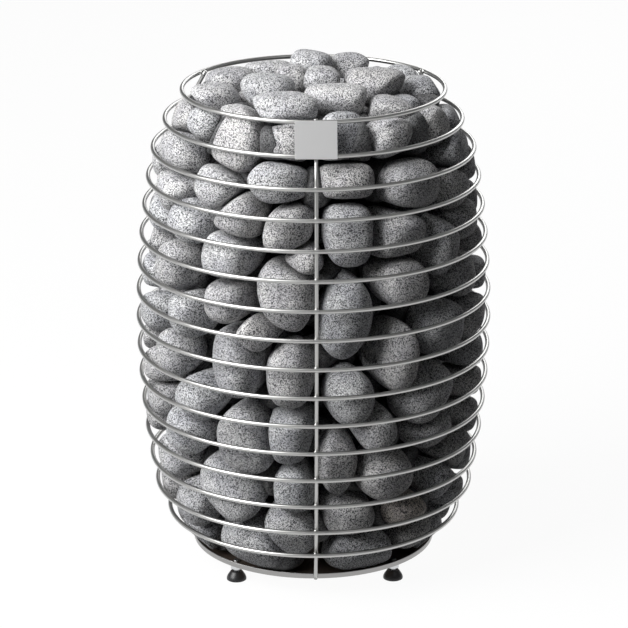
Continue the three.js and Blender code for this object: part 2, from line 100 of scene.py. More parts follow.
# Stones: the room that they keep, and the squared, worn form that they share
STONE_INNER_RADIUS = 100
STONE_TILT_SHARE = 0.6
POST_CLEARANCE = 5.9
RING_CLEARANCE = 1.4
STONE_FLOOR_Z = 25.2
STONE_GAP = 2.2
MOST_BULGE = 4
SQUARENESS = 2.6
TRIM_SHARPNESS = 7
STONE_FLATS = 3
DEEPEST_FLAT = 0.8
FLAT_RANGE = 0.16
STONE_WAVES = 3
WAVE_HEIGHT = 0.008

# Depth, as a share of the cage's radius, and growth over the sizes in the rows. Both ease to other values
# at the sides, between these azimuths, and the stones on the flanks are wider.
STONE_DEPTH_SHARE = 0.46
SIDE_DEPTH_SHARE = 0.29
STONE_GROWTH = 1.12
SIDE_GROWTH = 1.02
SIDE_SPAN = [32, 60, 96, 112]
FLANK_SPAN = [66, 88, 106]
FLANK_WIDENING = 1.4

# Front stones, course by course from the pan up: the course's lower and upper height, and for each stone
# its azimuth, centre height, width, height and lean. A positive lean turns the stone clockwise as seen
# from outside. The rows are those of the solids, with three stones a few millimetres smaller.
COURSES = [
    (24, 118, [
        (-66, 45, 62, 44, 22), (-31, 53, 84, 60, 20), (22, 44, 82, 52, 0),
        (50, 58, 62, 42, -14), (67, 44, 60, 46, -22), (-88, 52, 56, 44, 0), (88, 56, 54, 44, 0),
        (-60, 93, 64, 58, 30), (-11, 85, 72, 56, 42), (14, 99, 66, 46, 0), (42, 93, 58, 40, -5),
        (76, 91, 52, 46, 0), (-86, 96, 52, 52, 0),
    ]),
    (118, 222, [
        (-72, 138, 60, 52, 20), (-38, 124, 98, 54, 42), (-9, 135, 46, 66, 0), (9, 166, 44, 82, 0),
        (29, 147, 62, 54, -20), (58, 124, 64, 42, -28), (66, 153, 82, 36, -28), (84, 128, 50, 44, -30),
        (-88, 178, 48, 46, 0), (-58, 184, 62, 60, 10), (-29, 190, 60, 92, -15), (-11, 200, 50, 68, 0),
        (24, 206, 44, 48, -10), (51, 190, 52, 38, -25), (78, 184, 46, 52, -30), (-79, 209, 54, 54, 0),
    ]),
    (222, 330, [
        (80, 222, 52, 46, -20),
        (-50, 233, 58, 52, 20), (-79, 246, 54, 46, 15), (14, 250, 54, 66, -15), (48, 234, 80, 58, -28),
        (-11, 276, 56, 84, 0), (-62, 277, 52, 58, 0), (82, 257, 50, 52, 0), (-88, 272, 46, 42, 0),
        (-33, 285, 62, 88, -5), (33, 292, 40, 93, 5), (54, 313, 58, 70, 10), (-80, 312, 52, 50, 0),
        (80, 308, 54, 58, 0), (-23, 325, 41, 37, 35),
    ]),
    (330, 438, [
        (-55, 331, 54, 60, 15), (12, 344, 58, 112, 0),
        (-86, 352, 50, 48, 0), (84, 350, 50, 50, 0), (-35, 357, 54, 54, 10), (68, 366, 50, 60, 0),
        (-12, 372, 66, 102, -12), (35, 381, 58, 62, 0), (-64, 381, 54, 80, 15), (-84, 394, 54, 52, 0),
        (88, 392, 46, 48, 0), (-36, 409, 66, 58, 5), (-5, 410, 42, 36, 0), (55, 409, 46, 72, 5),
        (-79, 426, 52, 50, 0), (75, 424, 46, 60, 0), (35, 432, 62, 66, 15),
        (-57, 437, 58, 50, 25), (90, 436, 44, 52, 0), (13, 439, 54, 78, 0),
    ]),
    (438, 548, [
        (-12, 444, 56, 64, 0),
        (-32, 458, 58, 60, 5), (-72, 463, 66, 50, 15), (70, 467, 58, 54, 0), (-42, 485, 58, 48, 15),
        (42, 484, 78, 58, 5), (-17, 496, 78, 52, 3), (14, 498, 62, 48, 0), (-88, 484, 46, 44, 0),
        (-73, 505, 70, 54, 12), (76, 504, 60, 56, 0), (90, 478, 46, 48, 0),
        (-37, 538, 66, 90, 5), (-14, 545, 50, 54, 0), (14, 545, 68, 60, 0), (36, 543, 58, 42, 0),
        (68, 540, 60, 44, 0), (-80, 540, 58, 50, 0), (-60, 548, 46, 36, 0), (88, 528, 54, 46, 0),
    ]),
]

# Stones of the back, spread over an arc in two rows to a course: first azimuth, arc and usual size
BACK_STONES = 10
BACK_START = 108
BACK_ARC = 144
BACK_WIDTH = 76
BACK_HEIGHT = 58
BACK_ROWS = [0.27, 0.75]

# Loose stones on top: x, y, z, half length, half width, half height, turn.
# Two of them, near the plate, are a little larger than their solids and moved by up to 10 mm.
CROWN = [
    (-1, 76, 572, 27, 26, 19, -12), (44, 94, 565, 26, 24, 16, 8), (67, 0, 566, 46, 32, 20, -14),
    (11, -3, 573, 26, 23, 17, 8), (-24, 24, 567, 20, 23, 18, 0), (-49, 90, 559, 32, 24, 15, 4),
    (-91, 50, 557, 33, 29, 18, 20), (-54, -34, 570, 34, 29, 19, -12), (-111, -20, 556, 33, 31, 18, 25),
    (26, -68, 567, 47, 29, 18, -10), (81, -70, 556, 31, 28, 17, 12), (121, 28, 552, 23, 31, 18, 20),
    (-32, -104, 564, 46, 29, 22, 4), (106, 88, 555, 25, 25, 16, 30),
]

# Stones half sunk under those, part of the uppermost course, in the same numbers.
# One of them lies a little lower than in the solids.
TOP_FILL = [
    (72, 82, 546, 23, 25, 22, 0), (26, 46, 546, 30, 26, 17, 20), (-62, 24, 545, 30, 26, 17, -30),
    (32, -38, 535, 28, 24, 17, 0), (-88, -62, 544, 30, 26, 17, 40), (96, -22, 545, 26, 28, 16, 10),
    (62, 48, 542, 28, 24, 17, 50),
]

# Tones: how much lighter or warmer one stone is than another
DARKEST_TONE = 0.93
TONE_RANGE = 0.17
WARMTH_RANGE = 0.03

# The one brownish stone is the one nearest to this point
BROWN_STONE = np.array([105, -117, 93])
BROWN_WARMTH = 0.09

# Inner stones, which close the view between the outer ones: rows of two rings, kept inside the cage. Their
# colour is darkened by the share below, as painted shade in the gaps between the outer stones.
INNER_ROWS = 11
INNER_BOTTOM_Z = 41
INNER_PITCH = 49
INNER_COUNT = 10
INNER_CIRCLES = [92, 122]
INNER_INSETS = [70, 46]
INNER_SIZE = 33
INNER_HEIGHT_SHARE = 0.85
INNER_SHADE = 0.22

# A bed under the loose stones: one stone in the middle and a ring round it, its colour darkened as painted
# shade under the loose stones
TOP_BED_Z = 528
TOP_BED_COUNT = 6
TOP_BED_CIRCLE = 54
TOP_BED_SIZE = 34
TOP_BED_HEIGHT_SHARE = 0.7
TOP_BED_TURN = 40
TOP_BED_SHADE = 0.7

# Floor: how much of what is seen is plain white; the rest is lit and keeps the shadow
FLOOR_SIZE = 30
FLOOR_WHITE_SHARE = 0.95

# Lamps, in metres and watts: name, place, target, size, power
LAMPS = [
    ("key", (-2.0, -1.17, 2.0), (0, 0, 0.4), (2.0, 2.0), 146),
    ("top", (-0.7, -0.3, 2.6), (0, 0, 0.3), (1.0, 1.0), 12),
    ("back fill", (0.9, 2.8, 1.7), (0, 0, 0.3), (2.0, 1.4), 26),
    ("front card", (1.3, -2.3, 2.7), (0, 0, 0.3), (1.2, 1.0), 4),
]

# Camera: distance from the cage's axis, height, downward pitch, azimuth and lens
CAMERA_DISTANCE = 3.5307
CAMERA_HEIGHT = 1.4756
CAMERA_PITCH = 18.508
CAMERA_AZIMUTH = -1.0
CAMERA_LENS = 183.95
CAMERA_SENSOR = 36
CAMERA_SHIFT_X = 0.00086


def cage_radius(z):
    rise = np.abs(z - BELLY_Z)
    curved = np.minimum(rise, SHOULDER_HEIGHT)
    straight = np.maximum(rise - SHOULDER_HEIGHT, 0)
    return BELLY_RADIUS - curved * curved / (2 * SIDE_CURVE_RADIUS) - CONE_SLOPE * straight


def cage_tilt(z):
    step = 4
    return np.arctan2(cage_radius(z - step) - cage_radius(z + step), 2 * step)


def post_inset(z):
    return WIRE / 2 + (WIRE / 2 + POST_GAP + POST_DIA / 2) / np.cos(cage_tilt(z))


def post_radius(z):
    """The post follows the rings, and its lower end stands beside the pan."""
    lowest_ring = TOP_RING_Z - (RING_COUNT - 1) * RING_PITCH
    along = cage_radius(z) - post_inset(z)
    beside_pan = PAN_RADIUS + 0.5 + POST_DIA / 2
    share = np.clip((z - POST_BOTTOM_Z) / (lowest_ring - POST_BOTTOM_Z), 0, 1)
    at_ring = cage_radius(lowest_ring) - post_inset(lowest_ring)
    return along if z >= lowest_ring else beside_pan + share * (at_ring - beside_pan)


def stone_inset(z, at_post):
    """How far inside the cage a stone stays, clear of the rings, and of a post where it meets one."""
    room = POST_CLEARANCE if at_post else RING_CLEARANCE
    return WIRE / 2 + (WIRE / 2 + room) / np.cos(cage_tilt(z))


def outward(azimuth):
    angle = math.radians(azimuth)
    return np.array([math.sin(angle), -math.cos(angle), 0.0])


# Materials

def new_material(name):
    material = bpy.data.materials.new(name)
    material.use_nodes = True
    tree = material.node_tree
    return material, tree, tree.nodes["Principled BSDF"]


def metal(name, color, roughness, grain=0.0, grain_scale=400.0):
    material, tree, shader = new_material(name)
    shader.inputs["Base Color"].default_value = (*color, 1)
    shader.inputs["Metallic"].default_value = 1.0
    shader.inputs["Roughness"].default_value = roughness
    if grain > 0:
        place = tree.nodes.new("ShaderNodeTexCoord")
        noise = tree.nodes.new("ShaderNodeTexNoise")
        noise.inputs["Scale"].default_value = grain_scale
        noise.inputs["Detail"].default_value = 3
        bump = tree.nodes.new("ShaderNodeBump")
        bump.inputs["Strength"].default_value = grain
        bump.inputs["Distance"].default_value = 0.0004
        tree.links.new(place.outputs["Object"], noise.inputs["Vector"])
        tree.links.new(noise.outputs["Fac"], bump.inputs["Height"])
        tree.links.new(bump.outputs["Normal"], shader.inputs["Normal"])
    return material


def plain(name, color, roughness):
    material, _, shader = new_material(name)
    shader.inputs["Base Color"].default_value = (*color, 1)
    shader.inputs["Roughness"].default_value = roughness
    return material


def stone_material():
    """Fine-grained grey rock: light and dark crystals about a millimetre across, toned stone by stone, with
    painted shade on the inner stones and on the bed under the loose stones.
    """
    material, tree, shader = new_material("speckled stone")
    nodes, links = tree.nodes, tree.links
    place = nodes.new("ShaderNodeTexCoord")
    crystals = nodes.new("ShaderNodeTexVoronoi")
    crystals.inputs["Scale"].default_value = 1150
    crystals.inputs["Randomness"].default_value = 1
    grain = nodes.new("ShaderNodeTexNoise")
    grain.inputs["Scale"].default_value = 900
    grain.inputs["Detail"].default_value = 5
    grain.inputs["Roughness"].default_value = 0.75
    patches = nodes.new("ShaderNodeTexNoise")
    patches.inputs["Scale"].default_value = 40
    patches.inputs["Detail"].default_value = 3
    for texture in (crystals, grain, patches):
        links.new(place.outputs["Object"], texture.inputs["Vector"])
    grey = nodes.new("ShaderNodeRGBToBW")
    links.new(crystals.outputs["Color"], grey.inputs["Color"])
    mix = nodes.new("ShaderNodeMix")
    mix.inputs["Factor"].default_value = 0.5
    links.new(grey.outputs["Val"], mix.inputs["A"])
    links.new(grain.outputs["Fac"], mix.inputs["B"])
    ramp = nodes.new("ShaderNodeValToRGB")
    ramp.color_ramp.elements[0].position = 0.39
    ramp.color_ramp.elements[0].color = (0.03, 0.03, 0.034, 1)
    ramp.color_ramp.elements[1].position = 0.57
    ramp.color_ramp.elements[1].color = (0.68, 0.68, 0.68, 1)
    for position, grey_level in ((0.44, 0.18), (0.5, 0.47)):
        ramp.color_ramp.elements.new(position).color = (grey_level, grey_level, 1.02 * grey_level, 1)
    links.new(mix.outputs["Result"], ramp.inputs["Fac"])
    tone_and_shade = nodes.new("ShaderNodeAttribute")
    tone_and_shade.attribute_name = "tone_and_shade"
    toned = nodes.new("ShaderNodeMix")
    toned.data_type = "RGBA"
    toned.blend_type = "MULTIPLY"
    toned.inputs["Factor"].default_value = 1
    links.new(ramp.outputs["Color"], toned.inputs["A"])
    links.new(tone_and_shade.outputs["Color"], toned.inputs["B"])
    smudge = nodes.new("ShaderNodeValToRGB")
    smudge.color_ramp.elements[0].position = 0.36
    smudge.color_ramp.elements[0].color = (0.8, 0.8, 0.83, 1)
    smudge.color_ramp.elements[1].position = 0.6
    smudge.color_ramp.elements[1].color = (1, 1, 1, 1)
    links.new(patches.outputs["Fac"], smudge.inputs["Fac"])
    colored = nodes.new("ShaderNodeMix")
    colored.data_type = "RGBA"
    colored.blend_type = "MULTIPLY"
    colored.inputs["Factor"].default_value = 1
    links.new(toned.outputs["Result"], colored.inputs["A"])
    links.new(smudge.outputs["Color"], colored.inputs["B"])
    links.new(colored.outputs["Result"], shader.inputs["Base Color"])
    shader.inputs["Roughness"].default_value = 0.72
    bump = nodes.new("ShaderNodeBump")
    bump.inputs["Strength"].default_value = 0.25
    bump.inputs["Distance"].default_value = 0.0008
    links.new(mix.outputs["Result"], bump.inputs["Height"])
    links.new(bump.outputs["Normal"], shader.inputs["Normal"])
    return material


STONE = stone_material()
WIRE_STEEL = metal("satin wire", (0.48, 0.48, 0.47), 0.32, 0.05)
PLATE_STEEL = metal("satin plate", (0.95, 0.95, 0.95), 0.34, 0.04)
PAN_STEEL = metal("heat-tinted pan", (0.34, 0.27, 0.23), 0.5)
PAN_EDGE_STEEL = metal("pan edge", (0.36, 0.355, 0.35), 0.4)
DARK_STEEL = metal("heat-darkened sheet", (0.25, 0.24, 0.23), 0.45)
ELEMENT_STEEL = metal("heat-darkened tube", (0.16, 0.14, 0.13), 0.5)
ZINC = metal("zinc-plated steel", (0.66, 0.67, 0.68), 0.3)
RUBBER = plain("black rubber", (0.012, 0.012, 0.013), 0.4)
CERAMIC = plain("glazed ceramic", (0.78, 0.76, 0.7), 0.3)


# Mesh helpers, in millimetres

def add_mesh(name, verts, faces, material, smooth=True):
    mesh = bpy.data.meshes.new(name)
    mesh.from_pydata((np.asarray(verts) * MM).tolist(), [], [list(face) for face in faces])
    mesh.update()
    if smooth:
        mesh.polygons.foreach_set("use_smooth", [True] * len(mesh.polygons))
    mesh.materials.append(material)
    obj = bpy.data.objects.new(name, mesh)
    bpy.context.scene.collection.objects.link(obj)
    return obj


def tube(points, radius, sides, closed):
    """Vertices and faces of a round tube along points; an open tube gets flat ends."""
    points = np.asarray(points, float)
    count = len(points)
    if closed:
        tangents = np.roll(points, -1, 0) - np.roll(points, 1, 0)
    else:
        tangents = np.gradient(points, axis=0)
    tangents /= np.linalg.norm(tangents, axis=1)[:, None]
    reference = np.array([0.0, 0.0, 1.0]) if closed else np.cross(points[0] - points[-1], [0, 0, 1.0])
    verts = []
    for point, tangent in zip(points, tangents):
        first = np.cross(tangent, reference)
        first /= np.linalg.norm(first)
        second = np.cross(tangent, first)
        for k in range(sides):
            angle = 2 * math.pi * k / sides
            verts.append(point + radius * (math.cos(angle) * first + math.sin(angle) * second))
    faces = []
    for i in range(count if closed else count - 1):
        j = (i + 1) % count
        for k in range(sides):
            m = (k + 1) % sides
            faces.append((i * sides + k, i * sides + m, j * sides + m, j * sides + k))
    if not closed:
        faces.append(tuple(range(sides)))
        faces.append(tuple(reversed(range((count - 1) * sides, count * sides))))
    return verts, faces


def lathe(profile, segments, centre=(0, 0)):
    """Closed turned shape from a closed outline of [radius, z] points."""
    verts = []
    faces = []
    rows = len(profile)
    for i in range(segments):
        angle = 2 * math.pi * i / segments
        for radius, z in profile:
            verts.append((centre[0] + radius * math.cos(angle), centre[1] + radius * math.sin(angle), z))
    for i in range(segments):
        j = (i + 1) % segments
        for k in range(rows):
            m = (k + 1) % rows
            faces.append((i * rows + k, j * rows + k, j * rows + m, i * rows + m))
    return verts, faces


def unit_ball(subdivisions):
    """Points and triangles of a ball of radius 1."""
    ball = bmesh.new()
    bmesh.ops.create_icosphere(ball, subdivisions=subdivisions, radius=1)
    points = np.array([v.co[:] for v in ball.verts])
    points /= np.linalg.norm(points, axis=1)[:, None]
    triangles = np.array([[v.index for v in f.verts] for f in ball.faces])
    ball.free()
    return points, triangles


def face_outward(obj):
    shape = bmesh.new()
    shape.from_mesh(obj.data)
    bmesh.ops.remove_doubles(shape, verts=shape.verts, dist=1e-7)
    bmesh.ops.recalc_face_normals(shape, faces=shape.faces)
    shape.to_mesh(obj.data)
    shape.free()


def stand_in(obj, body, slot, *nodes):
    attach(obj, body)
    if nodes:
        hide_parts(*nodes)


# Cage

def build_cage():
    for i in range(RING_COUNT):
        z = TOP_RING_Z - i * RING_PITCH
        radius = cage_radius(z) - WIRE / 2
        angles = np.linspace(0, 2 * math.pi, RING_POINTS, endpoint=False)
        level = np.full(RING_POINTS, float(z))
        path = np.stack([radius * np.cos(angles), radius * np.sin(angles), level], 1)
        ring = add_mesh(f"wire_ring_{i + 1}", *tube(path, WIRE / 2, WIRE_SIDES, True), WIRE_STEEL)
        face_outward(ring)
        stand_in(ring, "heater", "wire_steel", f"ring_{i + 1:02d}")
    for node, azimuth in POST_AZIMUTHS.items():
        heights = np.linspace(POST_BOTTOM_Z, POST_TOP_Z, POST_POINTS)
        out = outward(azimuth)
        path = [out * post_radius(z) + UP * z for z in heights]
        place = node.removeprefix("post_")
        post = add_mesh(f"upright_{place}", *tube(path, POST_DIA / 2, WIRE_SIDES, False), WIRE_STEEL)
        face_outward(post)
        stand_in(post, "heater", "wire_steel", node)


def build_welds():
    """Small beads where the posts meet the rings."""
    verts = []
    faces = []
    unit, triangles = unit_ball(2)
    for azimuth in POST_AZIMUTHS.values():
        out = outward(azimuth)
        side = np.array([-out[1], out[0], 0.0])
        bead = unit @ np.array([side * WELD_WIDTH / 2, out * WELD_DEPTH / 2, UP * WELD_HEIGHT / 2])
        for i in range(RING_COUNT):
            z = TOP_RING_Z - i * RING_PITCH
            faces.append(triangles + len(unit) * len(verts))
            verts.append(bead + out * (cage_radius(z) - WIRE - WELD_INSET) + UP * z)
    welds = add_mesh("weld_beads", np.concatenate(verts), np.concatenate(faces), WIRE_STEEL)
    face_outward(welds)
    stand_in(welds, "heater", "wire_steel")


def build_plate():
    tilt = float(cage_tilt(PLATE_Z))
    bpy.ops.mesh.primitive_cube_add(size=1)
    plate = bpy.context.object
    plate.name = "bare_plate"
    plate.data.transform(Matrix.Diagonal((PLATE_WIDTH * MM, PLATE_THICK * MM, PLATE_HEIGHT * MM, 1)))
    shape = bmesh.new()
    shape.from_mesh(plate.data)
    bmesh.ops.bevel(shape, geom=shape.edges[:], offset=PLATE_EDGE * MM, segments=2, affect="EDGES")
    shape.to_mesh(plate.data)
    shape.free()
    standoff = PLATE_THICK / 2 + PLATE_GAP
    y = -float(cage_radius(PLATE_Z)) - standoff / math.cos(tilt)
    plate.data.transform(Matrix.Translation((0, y * MM, PLATE_Z * MM)) @ Matrix.Rotation(-tilt, 4, "X"))
    plate.data.materials.append(PLATE_STEEL)
    stand_in(plate, "heater", "plate_steel", "name_plate")


# Base

def build_pan():
    top = PAN_BOTTOM_Z + PAN_RIM_HEIGHT
    floor = PAN_BOTTOM_Z + PAN_SHEET
    inside = PAN_RADIUS - PAN_SHEET
    profile = [
        (PAN_CENTRE_HOLE, PAN_BOTTOM_Z), (PAN_RADIUS - 1.5, PAN_BOTTOM_Z),
        (PAN_RADIUS - 0.4, PAN_BOTTOM_Z + 0.5), (PAN_RADIUS, PAN_BOTTOM_Z + 1.6),
        (PAN_RADIUS, top - 0.4), (PAN_RADIUS - 0.4, top), (inside + 0.3, top), (inside, top - 0.3),
        (inside, floor), (PAN_CENTRE_HOLE, floor),
    ]
    pan = add_mesh("pan_sheet", *lathe(profile, 144), PAN_STEEL, smooth=False)
    face_outward(pan)
    cutters = []
    holes = [((i + 0.5) * 360 / AIR_HOLES, AIR_HOLE_CIRCLE, AIR_HOLE_RADIUS) for i in range(AIR_HOLES)]
    holes += [(azimuth, FOOT_CIRCLE, STUD_DIA / 2 + 0.5) for azimuth in FOOT_AZIMUTHS]
    for azimuth, circle, radius in holes:
        centre = outward(azimuth) * circle * MM
        bpy.ops.mesh.primitive_cylinder_add(vertices=32, radius=radius * MM, depth=0.02,
                                            location=(centre[0], centre[1], PAN_BOTTOM_Z * MM))
        cutters.append(bpy.context.object)
    for cutter in cutters:
        cut = pan.modifiers.new("hole", "BOOLEAN")
        cut.object = cutter
        cut.operation = "DIFFERENCE"
    shaped = bpy.data.meshes.new_from_object(pan.evaluated_get(bpy.context.evaluated_depsgraph_get()))
    pan.modifiers.clear()
    pan.data = shaped
    for cutter in cutters:
        bpy.data.objects.remove(cutter)
    pan.data.polygons.foreach_set("use_smooth", [True] * len(pan.data.polygons))
    pan.data.set_sharp_from_angle(angle=math.radians(35))
    pan.data.materials.append(PAN_EDGE_STEEL)
    for face in pan.data.polygons:
        reach = math.hypot(face.center.x, face.center.y)
        if reach > (PAN_RADIUS - 1.0) * MM:
            face.material_index = 1
    stand_in(pan, "heater", "pan_steel", "base_pan")


def build_feet():
    for i, azimuth in enumerate(FOOT_AZIMUTHS):
        centre = outward(azimuth) * FOOT_CIRCLE
        profile = [
            (AXIS_RADIUS, 0), (PAD_RADIUS - 0.8, 0), (PAD_RADIUS - 0.1, 0.5), (PAD_RADIUS, 1.4),
            (PAD_RADIUS - 0.25, 3.2), (PAD_RADIUS - 1.3, 5.6), (PAD_RADIUS - 3.2, 8.4),
            (PAD_RADIUS - 4.4, 10.2), (PAD_RADIUS - 5.2, PAD_HEIGHT), (STUD_DIA / 2 + 0.2, PAD_HEIGHT),
            (STUD_DIA / 2 + 0.2, PAD_SOCKET_Z), (AXIS_RADIUS, PAD_SOCKET_Z),
        ]
        pad = add_mesh(f"rubber_pad_{i + 1}", *lathe(profile, 48, centre), RUBBER)
        face_outward(pad)
        stand_in(pad, f"foot_{i + 1}", "rubber", f"foot_pad_{i + 1}")
        outline = [(AXIS_RADIUS, STUD_BOTTOM_Z)]
        for k in range(THREAD_TURNS):
            root_z = STUD_BOTTOM_Z + 0.1 + THREAD_PITCH * k
            outline += [(STUD_DIA / 2 - THREAD_DEPTH, root_z), (STUD_DIA / 2, root_z + THREAD_DEPTH)]
        outline += [(STUD_DIA / 2 - 0.8, STUD_TOP_Z), (AXIS_RADIUS, STUD_TOP_Z)]
        stud = add_mesh(f"threaded_stud_{i + 1}", *lathe(outline, 32, centre), ZINC)
        face_outward(stud)
        stand_in(stud, f"foot_{i + 1}", "zinc_steel", f"foot_stud_{i + 1}")


# Stones

def eased_to_side(azimuth, elsewhere, at_side):
    """A value that changes gently between the front or back and the sides."""
    return np.interp(abs(azimuth), SIDE_SPAN, [elsewhere, at_side, at_side, elsewhere])


def bulge(z, half_height, depth):
    """How far a stone stands out between two rings before it meets one."""
    rings = TOP_RING_Z - RING_PITCH * np.arange(RING_COUNT)
    rise = np.minimum(np.abs(rings - z) / half_height, 1)
    drop = depth / 2 * (1 - (1 - rise ** SQUARENESS) ** (1 / SQUARENESS))
    return min(float(drop.min()), MOST_BULGE)


def arc_to_post(azimuth, radius):
    """How far along the cage the nearest post is."""
    angles = [abs((azimuth - post + 540) % 360 - 180) for post in POST_AZIMUTHS.values()]
    return math.radians(min(angles)) * radius


def faced_stone(course, row):
    """A stone that stands against the cage."""
    azimuth, z, width, height, lean = row
    radius = float(cage_radius(z))
    tilt = STONE_TILT_SHARE * float(cage_tilt(z))
    share = eased_to_side(azimuth, STONE_DEPTH_SHARE, SIDE_DEPTH_SHARE)
    depth = min(share * radius, radius - STONE_INNER_RADIUS)
    out = outward(azimuth)
    normal = out * math.cos(tilt) + UP * math.sin(tilt)
    side = np.array([-out[1], out[0], 0.0])
    up = np.cross(side, normal)
    if up[2] < 0:
        up = -up
    turn = math.radians(lean)
    axes = [
        side * math.cos(turn) - up * math.sin(turn),
        side * math.sin(turn) + up * math.cos(turn),
        normal,
    ]
    growth = eased_to_side(azimuth, STONE_GROWTH, SIDE_GROWTH)
    width *= np.interp(abs(azimuth), FLANK_SPAN, [1, FLANK_WIDENING, 1])
    at_post = arc_to_post(azimuth, radius) < width / 2 * growth + 3 * POST_DIA
    semi = np.array([width / 2 * growth, height / 2 * growth, depth / 2])
    proud = 0.0 if at_post else bulge(z, semi[1], depth)
    centre = out * (radius - stone_inset(z, at_post) + proud) + UP * z - normal * depth / 2
    return {"course": course, "centre": centre, "axes": np.array(axes), "semi": semi, "at_post": at_post,
            "proud": proud, "tone_and_shade": 1.0, "inner": False}


def lying_stone(course, row):
    """A stone that lies level, given by its centre, half sizes and turn."""
    x, y, z, length, width, height, turn = row
    angle = math.radians(turn)
    side = np.array([math.cos(angle), math.sin(angle), 0.0])
    along = np.array([-side[1], side[0], 0.0])
    return {"course": course, "centre": np.array([x, y, z], float), "axes": np.array([side, along, UP]),
            "semi": np.array([length, width, height], float), "at_post": True,
            "proud": 0.0, "tone_and_shade": 1.0, "inner": False}


def back_stones(course, low, high):
    rows = []
    for i in range(BACK_STONES):
        azimuth = BACK_START + (i + 0.3 * math.sin(3 * course + 2 * i)) * BACK_ARC / (BACK_STONES - 1)
        z = low + BACK_ROWS[i % 2] * (high - low) + 4 * math.sin(2 * course + 7 * i)
        width = BACK_WIDTH + 8 * math.sin(5 * course + 3 * i)
        height = BACK_HEIGHT + 6 * math.cos(4 * course + 5 * i)
        rows.append((azimuth, z, width, height, 12 * math.sin(course + 4 * i)))
    return rows


def inner_stone(course, x, y, z, size, height_share, turn, tone_and_shade):
    stone = lying_stone(course, (x, y, z, size, size, size * height_share, turn))
    # Painted shade: the colour of these stones is darkened by this share.
    stone["tone_and_shade"] = tone_and_shade
    stone["inner"] = True
    return stone


def inner_stones():
    """Rings of stones behind the outer ones, the lowest over the air holes, and the bed under the crown,
    all with a darkened colour as painted shade.
    """
    stones = []
    for row, ring in itertools.product(range(INNER_ROWS), range(len(INNER_CIRCLES))):
        z = INNER_BOTTOM_Z + row * INNER_PITCH
        circle = min(INNER_CIRCLES[ring], float(cage_radius(z)) - INNER_INSETS[ring])
        course = sum(z >= high for low, high, rows in COURSES[:-1])
        count = AIR_HOLES if row == 0 else INNER_COUNT
        shift = 0.5 if row == 0 else 0.5 * ((row + ring) % 2)
        for i in range(count):
            azimuth = (i + shift) * 360 / count
            x, y, _ = outward(azimuth) * circle
            stones.append(inner_stone(course, x, y, z, INNER_SIZE, INNER_HEIGHT_SHARE, azimuth, INNER_SHADE))
    for i in range(TOP_BED_COUNT + 1):
        circle = TOP_BED_CIRCLE if i < TOP_BED_COUNT else 0
        x, y, _ = outward(i * 360 / TOP_BED_COUNT) * circle
        stones.append(inner_stone(len(COURSES) - 1, x, y, TOP_BED_Z, TOP_BED_SIZE, TOP_BED_HEIGHT_SHARE,
                                  TOP_BED_TURN * i, TOP_BED_SHADE))
    return stones


def support(stone, direction):
    """How far a stone's squared ellipsoid reaches in a direction."""
    power = SQUARENESS / (SQUARENESS - 1)
    return float((np.abs(stone["semi"] * (stone["axes"] @ direction)) ** power).sum() ** (1 / power))


def scatter(stone, k):
    """A fixed number between 0 and 1 that looks like chance."""
    value = math.sin(12.9898 * stone + 78.233 * k) * 43758.5453
    return value - math.floor(value)


def worn_flats(stone):
    """Planes that wear a stone flat in a few places, as a direction and a distance."""
    number = stone["number"]
    flats = []
    for i in range(STONE_FLATS):
        rise = 2 * scatter(number, 3 * i) - 1
        around = 2 * math.pi * scatter(number, 3 * i + 1)
        level = math.sqrt(1 - rise * rise)
        direction = np.array([level * math.cos(around), level * math.sin(around), rise])
        share = DEEPEST_FLAT + FLAT_RANGE * scatter(number, 3 * i + 2)
        flats.append((direction, support(stone, direction) * share))
    return flats


def parting_planes(stone, stones):
    """Planes between a stone and its neighbours and the pan, as a direction and a distance."""
    planes = [(-UP, stone["centre"][2] - STONE_FLOOR_Z)]
    for other in stones:
        if other is stone or (other["inner"] and not stone["inner"]):
            continue
        direction = other["centre"] - stone["centre"]
        distance = float(np.linalg.norm(direction))
        direction = direction / distance
        own = support(stone, direction)
        reach = distance * own / (own + support(other, direction)) - STONE_GAP / 2
        if reach < own:
            planes.append((direction, reach))
    return planes


def pebble(stone, stones, unit):
    """Points of a stone: a squared ellipsoid with worn flats, clear of its neighbours and the cage."""
    number = stone["number"]
    directions = (unit * stone["semi"]) @ stone["axes"]
    directions /= np.linalg.norm(directions, axis=1)[:, None]
    ratio = np.abs(directions @ stone["axes"].T) / stone["semi"]
    total = (ratio ** SQUARENESS).sum(1) ** (TRIM_SHARPNESS / SQUARENESS)
    for direction, reach in parting_planes(stone, stones) + worn_flats(stone):
        total += np.maximum(directions @ direction / reach, 0) ** TRIM_SHARPNESS
    distance = total ** (-1 / TRIM_SHARPNESS)
    for wave in range(STONE_WAVES):
        run = np.array([2 * scatter(number, 20 + 4 * wave + axis) - 1 for axis in range(3)])
        phase = 6 * scatter(number, 23 + 4 * wave)
        distance *= 1 - WAVE_HEIGHT * (1 + np.sin(4 * directions @ run + phase))
    points = stone["centre"] + directions * distance[:, None]
    radius = np.hypot(points[:, 0], points[:, 1])
    inside_cage = cage_radius(points[:, 2]) - stone_inset(points[:, 2], stone["at_post"]) + stone["proud"]
    over_pan = PAN_RADIUS - PAN_RIM_HEIGHT + points[:, 2] - STONE_FLOOR_Z
    points[:, :2] *= np.minimum(np.minimum(inside_cage, over_pan) / radius, 1)[:, None]
    return points


